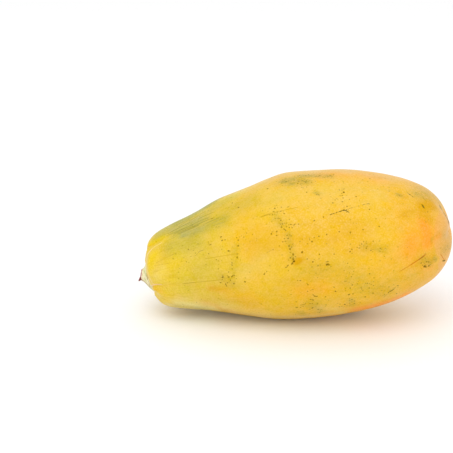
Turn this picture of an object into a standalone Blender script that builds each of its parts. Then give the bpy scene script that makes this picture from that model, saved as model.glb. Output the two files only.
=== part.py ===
"""A whole ripe papaya lying on its side, with the short stub of its stem and the dried tip of the cut.

Lengths are in metres, +Z is up. The fruit lies along X with its stem end at -X and its blossom
end at +X, and rests on a small flat under its belly at Z = 0. The origin is on the surface that
it rests on, under the middle of the whole object's box.

Each piece is worked out first on the fruit's own axis. "Along" is the distance from the rim of the
stem end, "radius" is the distance from the axis, and "turn" is the angle round it, 0 towards -Y and
90 degrees upwards. Then the axis is bent and leaned as the real fruit lies.
"""

import math

import bmesh
import bpy
import numpy as np
from mathutils import Vector

MM = 0.001

# The fruit.
FRUIT_LENGTH = 260 * MM
LEAN = math.radians(10.5)  # the blossom end is raised, because the neck is thinner than the belly
FOOT_DEPTH = 1.6 * MM  # how much of the belly the flat that it rests on takes away
# Half of the outline, as (along, radius) from the floor of the stem basin to the blossom tip.
OUTLINE = [
    (2.2 * MM, 0.0),
    (2.1 * MM, 8.5 * MM),
    (1.5 * MM, 12.0 * MM),
    (0.0 * MM, 15.0 * MM),
    (0.3 * MM, 19.0 * MM),
    (3.5 * MM, 26.0 * MM),
    (11.0 * MM, 32.5 * MM),
    (28.0 * MM, 38.0 * MM),
    (45.0 * MM, 42.5 * MM),
    (60.0 * MM, 47.5 * MM),
    (78.0 * MM, 53.0 * MM),
    (95.0 * MM, 57.5 * MM),
    (113.0 * MM, 61.0 * MM),
    (132.0 * MM, 63.0 * MM),
    (162.0 * MM, 62.5 * MM),
    (192.0 * MM, 58.5 * MM),
    (219.0 * MM, 50.5 * MM),
    (240.0 * MM, 40.5 * MM),
    (254.0 * MM, 26.0 * MM),
    (FRUIT_LENGTH, 0.0),
]
# The bend of the axis, as (along, height above the straight line between its ends).
BEND = [
    (0.0, 0.0),
    (30 * MM, 1.2 * MM),
    (60 * MM, 2.6 * MM),
    (95 * MM, 2.5 * MM),
    (130 * MM, 2.4 * MM),
    (165 * MM, 0.5 * MM),
    (200 * MM, -1.8 * MM),
    (230 * MM, -2.0 * MM),
    (FRUIT_LENGTH, 0.0),
]
# The stem basin is lower on the end than the axis is. The rings inside it are shifted with it.
BASIN_DROP = 3.5 * MM
BASIN_RADIUS, BASIN_REACH = 14 * MM, 28 * MM

# The turns of the five grooves between the fruit's lobes.
GROOVE_TURNS = [math.radians(degrees) for degrees in (-152, -81, -8, 62, 136)]
STEM_GROOVE, STEM_GROOVE_FADE = 2.2 * MM, 20 * MM
BELLY_GROOVE = 0.5 * MM
TIP_GROOVE, TIP_GROOVE_FADE = 1.8 * MM, 17 * MM
GROOVE_STARTS_AT = 14 * MM  # radius by which a groove has its whole depth
GROOVE_ROUNDING = 0.35

# The stub of the stem, as (along, radius) from its foot in the basin to its cut end.
STEM_OUTLINE = [
    (1.3 * MM, 11.1 * MM),
    (0.1 * MM, 13.2 * MM),
    (-1.0 * MM, 12.8 * MM),
    (-2.6 * MM, 10.9 * MM),
    (-4.2 * MM, 8.5 * MM),
    (-5.8 * MM, 6.2 * MM),
    (-7.3 * MM, 5.0 * MM),
    (-7.8 * MM, 4.7 * MM),
]
STEM_RISE = 3.0 * MM  # how much higher on the axis the cut end is than the foot
STEM_RIDGES, STEM_RIDGE_HEIGHT = 5, 0.35 * MM
CUT_SLANT = math.radians(16)  # the lower side of the cut stands out further

# The dried skin over the cut, as (distance out from the cut, radius), with a torn lip below.
TIP_OUTLINE = [
    (0.35 * MM, 2.8 * MM),
    (0.35 * MM, 4.5 * MM),
    (0.7 * MM, 4.9 * MM),
    (1.3 * MM, 4.7 * MM),
    (1.0 * MM, 2.8 * MM),
]
LIP_TURN, LIP_WIDTH = math.radians(-60), math.radians(38)
LIP_REACH, LIP_CURL = 0.2 * MM, 2.0 * MM

FRUIT_TURNS, FRUIT_RINGS = 60, 42
RING_CROWDING = 0.08  # how much closer the rings stand at the ends than in the middle
STEM_TURNS = 30


def smooth_outline(stations, count):
    """count points along the smooth curve through the stations, closer to each other at its ends.
    The curve is the half of a closed cubic spline through the stations and their mirror images
    across the axis, so it meets the axis squarely at both ends."""
    half = np.array(stations)
    loop = np.vstack([half, half[-2:0:-1] * [1, -1]])
    after = np.roll(loop, -1, axis=0)
    knot_gap = np.linalg.norm(after - loop, axis=1) ** 0.75
    gap_before = np.roll(knot_gap, 1)
    size = len(loop)
    index = np.arange(size)
    matrix = np.zeros((size, size))
    matrix[index, index] = 2 / gap_before + 2 / knot_gap
    matrix[index, index - 1] = 1 / gap_before
    matrix[index, (index + 1) % size] = 1 / knot_gap
    rise = (after - loop) / knot_gap[:, None] ** 2
    slopes = np.linalg.solve(matrix, 3 * (rise + np.roll(rise, 1, axis=0)))

    spans = len(half) - 1
    share = np.linspace(0, 1, 40, endpoint=False)[:, None, None]
    leave = slopes[:spans] * knot_gap[:spans, None]
    arrive = slopes[1 : spans + 1] * knot_gap[:spans, None]
    curve = hermite(share, loop[:spans], after[:spans], leave, arrive)
    curve = np.vstack([curve.transpose(1, 0, 2).reshape(-1, 2), half[-1:]])
    travelled = np.concatenate([[0], np.cumsum(np.linalg.norm(np.diff(curve, axis=0), axis=1))])
    share = np.linspace(0, 1, count)
    wanted = travelled[-1] * (share - RING_CROWDING * np.sin(2 * math.pi * share))
    return np.column_stack([np.interp(wanted, travelled, curve[:, k]) for k in (0, 1)])


def hermite(share, start, end, leave, arrive):
    """A cubic from start to end, with these slopes where it leaves and where it arrives."""
    return (
        (2 * share**3 - 3 * share**2 + 1) * start
        + (share**3 - 2 * share**2 + share) * leave
        + (3 * share**2 - 2 * share**3) * end
        + (share**3 - share**2) * arrive
    )


def bend(along):
    """The axis's height at each place along it, and its slope there."""
    knots, heights = np.array(BEND).T
    slopes = np.gradient(heights, knots)
    inside = np.clip(along, 0, FRUIT_LENGTH)
    span = np.clip(np.searchsorted(knots, inside) - 1, 0, len(knots) - 2)
    width = knots[span + 1] - knots[span]
    share = (inside - knots[span]) / width
    leave, arrive = slopes[span], slopes[span + 1]
    height = hermite(share, heights[span], heights[span + 1], leave * width, arrive * width)
    slope = leave + (arrive - leave) * share
    return height + slope * (along - inside), slope


def as_it_lies(along, radius, turn, drop=0.0):
    """Points at these places round the axis, once it is bent and leaned. Each ring stands square to
    the bent axis. Drop moves a point down across the axis."""
    across = radius * np.sin(turn) - drop
    height, slope = bend(along + 0 * turn)
    steepness = np.sqrt(1 + slope**2)
    x = along - across * slope / steepness
    z = height + across / steepness
    cos, sin = math.cos(LEAN), math.sin(LEAN)
    return np.stack([x * cos - z * sin, -radius * np.cos(turn), x * sin + z * cos], axis=-1)


def groove_depth(along, radius):
    """Depth of the grooves: deepest at the two ends, faint over the belly, nothing on the axis."""
    depth = (
        BELLY_GROOVE
        + STEM_GROOVE * np.exp(-along / STEM_GROOVE_FADE)
        + TIP_GROOVE * np.exp(-(FRUIT_LENGTH - along) / TIP_GROOVE_FADE)
    )
    return depth * np.minimum(radius / GROOVE_STARTS_AT, 1) ** 2


def valley(turn):
    """1 at the bottom of a groove and 0 on the crown of a lobe, with rounded bottoms."""
    first = GROOVE_TURNS[0]
    stops = GROOVE_TURNS + [first + 2 * math.pi]
    lobe = np.interp((turn - first) % (2 * math.pi) + first, stops, range(len(stops)))
    crown = np.sin(math.pi * lobe)
    rounded = np.sqrt(crown**2 + GROOVE_ROUNDING**2) - GROOVE_ROUNDING
    return 1 - rounded / (math.sqrt(1 + GROOVE_ROUNDING**2) - GROOVE_ROUNDING)


def basin_drop(along, radius):
    """How far a ring is shifted down because it is in the stem basin or on its rim."""
    nearness = np.clip((BASIN_REACH - radius) / (BASIN_REACH - BASIN_RADIUS), 0, 1)
    return np.where(along < BASIN_REACH, BASIN_DROP * nearness**2 * (3 - 2 * nearness), 0)


def fruit_points():
    """Rings of points round the axis. Each is the outline, sunk along its own normal by the grooves."""
    outline = smooth_outline(OUTLINE, FRUIT_RINGS)
    ahead = np.gradient(outline, axis=0)
    normal = np.column_stack([-ahead[:, 1], ahead[:, 0]])
    normal /= np.linalg.norm(normal, axis=1)[:, None]
    turn = np.linspace(0, 2 * math.pi, FRUIT_TURNS, endpoint=False)[None, :]
    along, radius = outline[:, :1], outline[:, 1:]
    sunk = groove_depth(along, radius) * valley(turn)
    drop = basin_drop(along, radius)
    return as_it_lies(along - normal[:, :1] * sunk, radius - normal[:, 1:] * sunk, turn, drop)


def slanted(along, radius, turn):
    """Points on the stub or on its dried tip, sheared more and more to the slant of the cut."""
    foot, end = STEM_OUTLINE[0][0], STEM_OUTLINE[-1][0]
    up_the_stub = np.clip((foot - along) / (foot - end), 0, 1)
    shear = math.tan(CUT_SLANT) * up_the_stub**2 * radius * np.sin(turn)
    return as_it_lies(along + shear, radius, turn, BASIN_DROP - STEM_RISE * up_the_stub)


def stem_points():
    """Rings up the stub, with shallow ridges."""
    turn = np.linspace(0, 2 * math.pi, STEM_TURNS, endpoint=False)[None, :]
    outline = np.array(STEM_OUTLINE)
    ridge = STEM_RIDGE_HEIGHT * np.cos(STEM_RIDGES * (turn - GROOVE_TURNS[0]))
    return slanted(outline[:, :1], outline[:, 1:] + ridge, turn)


def tip_points():
    """Rings from the middle of the dried tip's inner side, round its edge, to the middle of its
    outer side. The lip is drawn out of the edge and curls away from the stub."""
    turn = np.linspace(0, 2 * math.pi, STEM_TURNS, endpoint=False)[None, :]
    outline = np.array(TIP_OUTLINE)
    out, radius = outline[:, :1], outline[:, 1:]
    from_lip = (turn - LIP_TURN + math.pi) % (2 * math.pi) - math.pi
    edge = np.clip((radius - 2.8 * MM) / (2 * MM), 0, 1) * np.exp(-((from_lip / LIP_WIDTH) ** 2))
    along = STEM_OUTLINE[-1][0] - out - LIP_CURL * edge
    return slanted(along, radius + LIP_REACH * edge, turn)


def skin_rings(mesh, rings):
    """Faces between neighbouring rings of points."""
    rows = [[mesh.verts.new(Vector(point)) for point in ring] for ring in rings]
    for ring, beyond in zip(rows, rows[1:]):
        for i in range(len(ring)):
            mesh.faces.new((ring[i - 1], ring[i], beyond[i], beyond[i - 1]))
    cap(mesh, rows[0])
    cap(mesh, rows[-1])


def cap(mesh, ring):
    """Closes a ring with a fan of triangles round its middle."""
    middle = mesh.verts.new(sum((vert.co for vert in ring), Vector()) / len(ring))
    for i in range(len(ring)):
        mesh.faces.new((ring[i - 1], ring[i], middle))


def piece(name, mesh, material):
    """An object of this mesh, shaded smooth, with its faces pointing out."""
    bmesh.ops.recalc_face_normals(mesh, faces=mesh.faces)
    data = bpy.data.meshes.new(name)
    mesh.to_mesh(data)
    mesh.free()
    data.shade_smooth()
    data.set_sharp_from_angle(angle=math.radians(40))
    data.materials.append(material)
    made = bpy.data.objects.new(name, data)
    bpy.context.scene.collection.objects.link(made)
    return made


def surface(name, colour, roughness):
    """A plain material of one linear colour."""
    made = bpy.data.materials.new(name)
    made.use_nodes = True
    shader = made.node_tree.nodes["Principled BSDF"]
    shader.inputs["Base Color"].default_value = (*colour, 1)
    shader.inputs["Roughness"].default_value = roughness
    shader.inputs["Metallic"].default_value = 0
    return made


def make_fruit(lift):
    """The fruit, cut flat where it stands."""
    mesh = bmesh.new()
    rings = fruit_points()[1:-1] + [0, 0, lift]
    skin_rings(mesh, rings)
    cut = bmesh.ops.bisect_plane(
        mesh,
        geom=mesh.verts[:] + mesh.edges[:] + mesh.faces[:],
        dist=0.02 * MM,
        plane_co=(0, 0, 0),
        plane_no=(0, 0, 1),
        clear_inner=True,
    )
    rim = [item for item in cut["geom_cut"] if isinstance(item, bmesh.types.BMEdge)]
    bmesh.ops.holes_fill(mesh, edges=rim, sides=0)
    return piece("fruit", mesh, surface("ripe_skin", (0.92, 0.56, 0.05), 0.42))


def make_stem(lift):
    """The stub of the stem, a solid plug with a slanted cut end."""
    mesh = bmesh.new()
    skin_rings(mesh, stem_points() + [0, 0, lift])
    return piece("stem", mesh, surface("pale_stalk", (0.72, 0.68, 0.38), 0.6))


def make_dried_tip(lift):
    """The thin dried skin over the cut."""
    mesh = bmesh.new()
    skin_rings(mesh, tip_points() + [0, 0, lift])
    return piece("dried_tip", mesh, surface("dried_stalk", (0.20, 0.05, 0.03), 0.8))


def stand_on_origin(objects):
    """Places the objects so that the middle of their box is over the origin, at the same height."""
    corners = np.array([tuple(v.co) for made in objects for v in made.data.vertices])
    middle = (corners.min(axis=0) + corners.max(axis=0)) / 2
    for made in objects:
        made.location = (-middle[0], -middle[1], 0)


def main():
    for old in list(bpy.data.objects):
        bpy.data.objects.remove(old)
    lift = -fruit_points()[..., 2].min() - FOOT_DEPTH
    stand_on_origin([make_fruit(lift), make_stem(lift), make_dried_tip(lift)])


main()
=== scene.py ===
"""The looks of a whole ripe papaya that lies on its side.

The fruit's skin, the stub of its stem and the dried skin over the cut are surfaces worked out on a
grid: rings of points round the fruit's own axis. "Along" is the distance from the rim of the stem
end, "radius" is the distance from the axis, and "turn" is the angle round it, 0 towards -Y and 90
degrees upwards. Lengths are in metres unless a name or a comment says millimetres.
"""

import math

import bpy
import numpy as np
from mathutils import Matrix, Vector


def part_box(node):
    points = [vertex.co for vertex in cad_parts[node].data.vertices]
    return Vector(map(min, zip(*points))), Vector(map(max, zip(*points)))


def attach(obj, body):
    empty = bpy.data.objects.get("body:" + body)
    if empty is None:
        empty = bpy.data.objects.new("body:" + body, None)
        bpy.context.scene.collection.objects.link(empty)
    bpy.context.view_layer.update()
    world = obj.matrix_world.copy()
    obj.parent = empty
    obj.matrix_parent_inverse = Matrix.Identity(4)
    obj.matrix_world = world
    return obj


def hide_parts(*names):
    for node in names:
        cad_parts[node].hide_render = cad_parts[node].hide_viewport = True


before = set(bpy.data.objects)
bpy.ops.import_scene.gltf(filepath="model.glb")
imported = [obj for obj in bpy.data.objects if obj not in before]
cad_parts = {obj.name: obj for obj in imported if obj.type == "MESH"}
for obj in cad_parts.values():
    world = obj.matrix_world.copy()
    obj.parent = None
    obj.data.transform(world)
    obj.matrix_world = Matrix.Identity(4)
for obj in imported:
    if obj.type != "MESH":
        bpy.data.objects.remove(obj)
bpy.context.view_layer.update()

MM = 0.001

# The fruit's outline, as (along, radius) in mm from the floor of the stem basin to the blossom tip.
OUTLINE_MM = [
    (2.2, 0.0),
    (2.1, 8.5),
    (1.5, 12.0),
    (0.0, 15.0),
    (0.3, 19.0),
    (3.5, 26.0),
    (11.0, 32.5),
    (28.0, 38.0),
    (45.0, 42.5),
    (60.0, 47.5),
    (78.0, 53.0),
    (95.0, 57.5),
    (113.0, 61.0),
    (132.0, 63.0),
    (162.0, 62.5),
    (192.0, 58.5),
    (219.0, 50.5),
    (240.0, 40.5),
    (254.0, 26.0),
    (260.0, 0.0),
]
FRUIT_LENGTH = 260 * MM
# How far the skin's rings are moved towards the two ends, as a share of its length.
CROWDING = 0.05
# How far the fruit leans down towards its stem as it lies.
LEAN = math.radians(10.5)
# How much of the belly the flat that it rests on takes away, and how softly the belly eases into it.
FLAT_DEPTH, FLAT_SOFTNESS = 1.6 * MM, 0.6 * MM
# The bend of the axis, as (along, height) in mm.
BEND_MM = [
    (0, 0.0),
    (30, 1.2),
    (60, 2.6),
    (95, 2.5),
    (130, 2.4),
    (165, 0.5),
    (200, -1.8),
    (230, -2.0),
    (260, 0.0),
]

# The stem basin lies below the axis: all of it within one radius, and less and less to the next.
BASIN_DROP = 3.5 * MM
BASIN_RADIUS, BASIN_REACH = 14 * MM, 28 * MM
RIM_RADIUS, BASIN_EDGE = 18.6 * MM, 1.5 * MM

# The cork on the rim, and where it is worn away.
CORK_HEIGHT, CORK_WIDTH = 0.45 * MM, 1.5 * MM
CORK_RIM, CORK_RIM_WIDTH, CORK_RIM_MOST = 18.8 * MM, 1.3 * MM, 0.7
RIM_GAP, RIM_GAP_WIDTH = math.radians(-36), math.radians(27)

# The five grooves between the lobes: their turns over the belly, how far each veers from that at
# the very end, and how fast the veer fades along the fruit and round it.
GROOVE_TURNS = [math.radians(degrees) for degrees in (-152, -81, -5.5, 66, 136)]
GROOVE_VEERS = [math.radians(degrees) for degrees in (-10, 8, -8.5, 22, -12)]
VEER_FADE, VEER_WIDTH = 4 * MM, math.radians(30)
# Their depth over the belly, and how much deeper they are at the stem end and at the tip. They are
# whole from one radius out, and their bottoms are rounded.
BELLY_GROOVE = 0.5 * MM
STEM_GROOVE, STEM_GROOVE_FADE = 2.2 * MM, 20 * MM
TIP_GROOVE, TIP_GROOVE_FADE = 1.8 * MM, 17 * MM
GROOVE_STARTS_AT, GROOVE_ROUNDING = 14 * MM, 0.35
# The narrow crease down the middle of each groove, at the stem end.
CREASE_DEPTH, CREASE_WIDTH, CREASE_FADE = 0.9 * MM, 1.6 * MM, 15 * MM
# The corky edge of a lobe: the side of each groove on which it runs, or 0 for none, how far from the
# groove, how wide it is, and how far along it goes before it fades.
CORK_SIDES = (1, 1, 1, 0, -1)
CORK_OFFSET, CORK_EDGE_WIDTH = 1.3 * MM, 0.8 * MM
CORK_EDGE_LENGTH, CORK_EDGE_FADE = 8 * MM, 9 * MM
# The painted shade down in the creases, a deeper yellow, and the dry streaks on the neck.
CREASE_SHADE_WIDTH, CREASE_SHADE_FADE = 1.8 * MM, 14 * MM
NECK_END, NECK_FADE = 80 * MM, 60 * MM
# The small dimple of the blossom scar.
DIMPLE_DEPTH, DIMPLE_RADIUS = 1.2 * MM, 3.5 * MM
# Gentle waves over the skin, as (height mm, wavelength mm, seed), and the radius inside which they
# die down towards the poles.
SKIN_WAVES = [(0.35, 60, 3), (0.10, 18, 4), (0.025, 7, 5)]
CALM_RADIUS = 20 * MM

# Low swells and dents, as (along mm, turn in degrees, height mm, reach mm).
SWELLS = [
    (127, 102, 1.1, 13),
    (93, 100, -0.8, 16),
    (48, 96, -0.5, 12),
    (18, 92, -0.4, 10),
    (1, 75, 2.3, 7),
    (1.5, -14, 2.8, 4.5),
    (1.5, -33, -2.2, 6.0),
    (6, -54, 0.6, 8),
    (76, -56, 0.3, 12),
    (160, -54, -0.5, 18),
    (214, -54, -0.6, 12),
    (243, -58, 0.6, 10),
    (222, 100, 0.4, 14),
    (110, 15, 0.5, 26),
    (190, 40, -0.4, 24),
    (70, 178, 0.7, 26),
    (150, 170, -0.6, 24),
    (205, 200, 0.7, 22),
    (120, 230, 0.6, 24),
]

# The stub, as (along, radius) in mm from its cut end to its foot in the basin.
STUB_MM = [
    (-7.6, 0.0),
    (-7.6, 2.6),
    (-7.8, 3.9),
    (-8.0, 4.5),
    (-7.3, 5.0),
    (-5.8, 6.2),
    (-4.2, 8.5),
    (-2.6, 10.9),
    (-1.0, 12.8),
    (0.3, 13.6),
    (1.2, 13.0),
    (1.7, 8.0),
    (1.7, 0.0),
]
STUB_RISE = 3.5 * MM
CUT_SLANT = math.radians(16)
STUB_FOOT, STUB_CUT = 1.3 * MM, -7.8 * MM
# The radius at which the stub's side begins, the height of its ribs, and how much its foot spreads
# and sinks in a groove.
STUB_SIDE_FROM = 4 * MM
RIB_HEIGHT, FOOT_SPREAD, FOOT_SINK = 0.35 * MM, 1.6 * MM, 3 * MM

# The dried skin over the cut, as (along from the cut, radius) in mm, outer side first.
DRIED_MM = [
    (-0.35, 0.0),
    (-0.35, 2.0),
    (-0.50, 3.1),
    (-0.50, 4.0),
    (-0.20, 4.5),
    (0.1, 4.1),
    (0.15, 2.6),
    (0.15, 0.0),
]
DRIED_RADIUS = 4.9 * MM
# The lip: its turn and width round the edge, the radius it starts from and how soon it is whole,
# and how far it reaches out and curls away.
LIP_TURN, LIP_WIDTH = math.radians(-48), math.radians(36)
LIP_FROM, LIP_RISE = 2.8 * MM, 2 * MM
LIP_REACH, LIP_CURL = 1.3 * MM, 1.5 * MM

# The radius of the cylinder on which the patterns that follow the growth are laid out.
GROWTH_RADIUS = 60 * MM

# How fine each surface's grid is, as (rings, points round).
SKIN_GRID = (262, 368)
STUB_GRID = (90, 180)
DRIED_GRID = (60, 160)

# Where the skin's colours lie. Each entry is a run on the skin that starts and ends at an (along mm,
# turn in degrees), with its reach to each side in mm and its strength.
CASTS = {
    "green_flush": [
        ((34, 70), (56, 68), 10, 0.48),
        ((37, 60), (46, 58), 7, 0.45),
        ((22, 92), (62, 98), 13, 0.70),
        ((46, 54), (74, 57), 8, 0.45),
        ((64, 80), (80, 84), 10, 0.30),
        ((74, 64), (98, 68), 10, 0.22),
        ((28, 48), (50, 42), 9, 0.34),
        ((34, 2), (56, 12), 9, 0.18),
        ((30, 114), (76, 122), 20, 0.62),
        ((50, 200), (110, 214), 15, 0.55),
        ((200, 150), (222, 158), 12, 0.40),
    ],
    "grey_flush": [
        ((38, 59), (43, 57), 4, 0.40),
        ((50, 57), (56, 56), 4, 0.35),
        ((30, 76), (52, 74), 6, 0.30),
        ((38, 88), (60, 90), 7, 0.14),
        ((34, 122), (64, 128), 10, 0.22),
        ((20, -50), (40, -54), 7, 0.25),
    ],
    "lemon_glow": [
        ((3, 24), (9, 44), 8, 0.85),
        ((4, 74), (20, 68), 6, 1.00),
        ((4, 86), (40, 98), 12, 0.70),
        ((40, 90), (84, 88), 9, 0.80),
        ((20, 4), (36, 8), 7, 0.45),
        ((14, 12), (30, 26), 7, 0.45),
        ((6, -10), (14, -24), 7, 0.35),
        ((10, 140), (30, 230), 14, 0.40),
    ],
    "orange_blush_and_painted_shade": [
        ((224, 4), (236, 16), 12, 0.50),
        ((237, 27), (236, 3), 7, 0.95),
        ((243, 6), (249, 6), 3, 0.50),
        ((174, -54), (212, -58), 7, 0.78),
        ((61, -46), (68, -49), 4, 0.20),
        ((158, 84), (206, 82), 10, 0.25),
        ((128, -16), (146, -18), 7, 0.15),
        # This short run is painted shade, in orange, under the crest of the groove at the stem end.
        ((4, -15), (9, -15), 3, 0.22),
        ((230, -22), (236, -30), 4, 0.20),
        ((225, 190), (240, 240), 18, 0.70),
        ((225, 120), (238, 150), 14, 0.45),
        ((110, 250), (160, 262), 18, 0.30),
    ],
    "golden_spot": [
        ((128.6, 7.3), (131, 8.3), 2.4, 1.80),
        ((239, 46), (248, 54), 6.5, 1.50),
        ((242, 6), (248, 8), 2.2, 0.50),
        ((236, 36), (243, 30), 5, 0.80),
        ((222, 38), (229, 42), 4, 0.60),
        ((221, 59), (226, 58), 2.5, 0.60),
        ((224, -12), (236, -18), 6, 0.60),
        ((46, -38), (60, -48), 7, 0.80),
        ((54, -12), (66, -14), 4, 0.50),
        ((100, 26), (178, 22), 15, 0.50),
        ((120, -12), (164, -14), 12, 0.20),
        ((60, -20), (90, -26), 8, 0.20),
        ((130, 200), (150, 190), 12, 0.40),
    ],
    "olive_cast": [
        ((127, 81), (134, 76), 5.5, 0.52),
        ((134, 80), (144, 75), 5, 0.50),
        ((128, 84), (142, 83), 3.5, 0.40),
        ((142, 85), (163, 81), 4, 0.45),
        ((150, 61), (153, 59), 2, 0.40),
        ((117, 43), (122, 36), 4, 0.25),
        ((125, 28), (126, 10), 3, 0.30),
        ((134, 2), (168, -4), 9, 0.20),
        ((172, -14), (196, -32), 11, 0.22),
        ((204, -22), (222, -30), 8, 0.10),
        ((184, 13), (200, 8), 3.5, 0.26),
        ((66, 0), (72, -6), 5, 0.25),
        ((75, 3), (82, 26), 4, 0.15),
        ((230, -12), (236, -22), 4, 0.30),
        ((240, -19), (241, -23), 2.2, 0.55),
        ((240, 3), (241, 7), 1.6, 0.35),
        ((237, 66), (246, 72), 6, 0.35),
        ((242, 82), (255, 84), 8, 0.22),
        ((219, 60), (222, 59), 2.2, 0.45),
        ((125, -44), (128, -48), 4, 0.40),
        ((136, -32), (142, -44), 6, 0.30),
        ((169, -33), (171, -42), 3.5, 0.30),
        ((250, -20), (256, -32), 6, 0.28),
        ((252, 2), (257, -14), 5, 0.22),
        ((90, 160), (112, 168), 8, 0.60),
        ((170, 215), (190, 220), 9, 0.50),
        ((140, 262), (165, 268), 9, 0.40),
        ((60, 240), (80, 250), 10, 0.35),
    ],
    # Pale casts, partly painted light. The runs low on the underside, at turns of -40 to -60, are
    # painted light from below. The run along the top edge is a painted sheen, and the broad run near
    # turn 60 is a painted highlight. The rest are paler skin.
    "pale_bloom_and_painted_light": [
        ((24, -40), (48, -46), 9, 0.65),
        ((14, -52), (40, -60), 8, 0.60),
        ((60, -42), (96, -48), 8, 0.34),
        ((90, -54), (160, -54), 6, 0.45),
        ((88, 2), (104, 12), 9, 0.12),
        ((9, 12), (16, 20), 5, 0.25),
        ((84, 92), (124, 98), 6, 0.15),
        ((120, 62), (196, 58), 12, 0.10),
        ((144, -40), (156, -46), 6, 0.25),
        ((20, 180), (60, 175), 12, 0.30),
    ],
    # Tan casts, mostly painted light. The run low on the underside is painted light from below, and
    # the two runs along the top edge are a painted sheen. The last run, on the far side, is tan skin.
    "tan_bloom_and_painted_light": [
        ((68, -52), (150, -56), 6, 0.45),
        ((120, 94), (222, 90), 9, 0.40),
        ((232, 84), (254, 80), 9, 0.35),
        ((246, 200), (252, 130), 9, 0.50),
    ],
    "dark_scar": [
        ((256.2, 64), (257.4, 46), 2.2, 1.30),
        ((257.6, 44), (258.4, 24), 1.6, 0.90),
        ((260, 0), (260, 90), 2.4, 2.00),
    ],
    "speck_swarm": [
        ((66, 1), (74, -2), 5, 0.45),
        ((116, 50), (122, 38), 4.5, 1.00),
        ((122, 34), (128, 33), 3.5, 0.70),
        ((126, 27), (125, 21), 3, 1.10),
        ((126, 18), (126, 12), 2.4, 0.90),
        ((141, 86), (163, 82), 3.5, 1.20),
        ((129, 81), (143, 75), 6, 0.90),
        ((148, 62), (153, 59), 3, 0.80),
        ((136, 22), (152, 18), 4, 0.40),
        ((166, 52), (172, 66), 5, 0.45),
        ((174, 16), (182, 14), 4, 0.55),
        ((184, 13), (200, 8), 3.5, 0.65),
        ((172, -14), (200, -32), 9, 0.13),
        ((124, -32), (142, -36), 6, 0.35),
        ((163, -37), (172, -40), 4, 0.80),
        ((230, -18), (235, -24), 3, 0.80),
        ((84, 30), (93, 38), 4, 0.45),
        ((30, 20), (56, 34), 8, 0.15),
        ((50, 150), (225, 150), 36, 0.25),
        ((50, 235), (225, 235), 36, 0.25),
    ],
}
# The dull cap round the blossom end, as runs and their reach in mm.
CAP = [
    ((256, 0), (252, -70), 22),
    ((259, 180), (255, -120), 20),
    ((254, -120), (248, -160), 15),
]

# Thin marks, as runs with half their width in mm and their strength.
MARKS = {
    "rim_line": [
        ((1.0, 5), (1.2, 20), 0.5, 1.00),
        ((1.2, 20), (1.2, 46), 0.5, 1.00),
        ((1.2, 46), (1.9, 51), 0.5, 1.00),
        ((1.9, 51), (3.2, 55), 0.55, 1.00),
        ((3.2, 55), (5.6, 58), 0.6, 1.00),
        ((5.6, 58), (9.5, 60), 0.6, 1.00),
        ((9.5, 60), (18, 60.5), 0.5, 0.70),
        ((1.0, 5), (2.4, -3), 0.6, 1.00),
        ((2.4, -3), (5, -6), 0.6, 0.90),
    ],
    "growth_line_and_fold_shade": [
        ((106.5, 47), (112, 47.5), 0.9, 0.90),
        ((112, 47.5), (134, 48.5), 0.5, 0.80),
        ((32, -4), (42, -3.5), 0.8, 0.65),
        ((42, -3.5), (62, -2.5), 0.5, 0.70),
        # These three broad, faint runs are painted shade in the folds that fan out from the stem end.
        ((11, 27.5), (24, 25.8), 2.6, 0.25),
        ((8, 18.5), (22, 20), 2.6, 0.23),
        ((13, 31.5), (30, 36), 2.6, 0.23),
        ((56, 21), (82, 20.5), 0.6, 0.60),
        ((24, 70), (48, 68.5), 0.8, 0.70),
        ((31, 67), (46, 65.5), 0.6, 0.75),
        ((35, 63.5), (52, 62.5), 0.7, 0.90),
        ((47, 65), (66, 63.5), 0.6, 0.80),
        ((50, 69), (62, 67), 0.6, 0.70),
        ((22, 60), (30, 60), 0.6, 0.60),
        ((28, 74), (44, 75), 0.6, 0.90),
        ((54, 73), (66, 71.5), 0.7, 0.75),
        ((36, 78), (44, 82), 0.6, 0.80),
        ((46, 79), (58, 80), 0.6, 0.90),
        ((60, 60), (70, 60.5), 0.5, 0.70),
        ((60, 150), (84, 153), 0.6, 0.80),
        ((30, 230), (58, 226), 0.6, 0.80),
    ],
    "orange_scratch": [
        ((211, -15), (220, -12.3), 0.6, 0.70),
        ((220, -12.3), (228, -10), 0.8, 0.90),
        ((228, -10), (233, -8), 0.9, 1.00),
        ((245.8, -22), (247.5, -34), 0.6, 0.70),
        ((212, 34), (219, 36), 0.5, 0.35),
        ((219, 36), (226, 34.5), 0.5, 0.35),
    ],
    "dark_scratch": [
        ((161.5, 40.2), (166, 41.3), 0.45, 0.45),
        ((168.5, 42), (171.5, 42.8), 0.7, 0.75),
        ((172.5, 42.2), (174, 41), 0.6, 0.50),
        ((175, 43.7), (191, 47.7), 0.45, 0.40),
        ((196, -40), (200, -35.5), 0.8, 0.30),
        ((200, -36), (204, -33), 1.1, 0.50),
        ((204, -33), (208, -29.5), 0.6, 0.30),
        ((228.5, 64.5), (232, 60), 0.8, 0.50),
        ((241, 62), (242.5, 58), 0.9, 0.45),
        ((238.7, 48), (239.3, 46.2), 0.9, 1.00),
        ((247, -36), (248, -38.5), 0.9, 0.90),
        ((94, 150), (118, 158), 0.6, 0.50),
        ((180, 196), (186, 212), 0.7, 0.50),
    ],
    "brown_scar": [
        ((228, -10), (231.5, -9), 0.6, 0.60),
        ((50, 30), (54, 30.3), 0.5, 0.45),
        ((48, 27.5), (50, 29), 0.4, 0.45),
        ((107, 17.8), (110.5, 18.8), 0.5, 0.35),
        ((160, 150), (166, 148), 1.4, 0.80),
    ],
}

# What a point says of a thin mark or a speck when none is near.
FAR_OFF = 9.0

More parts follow.
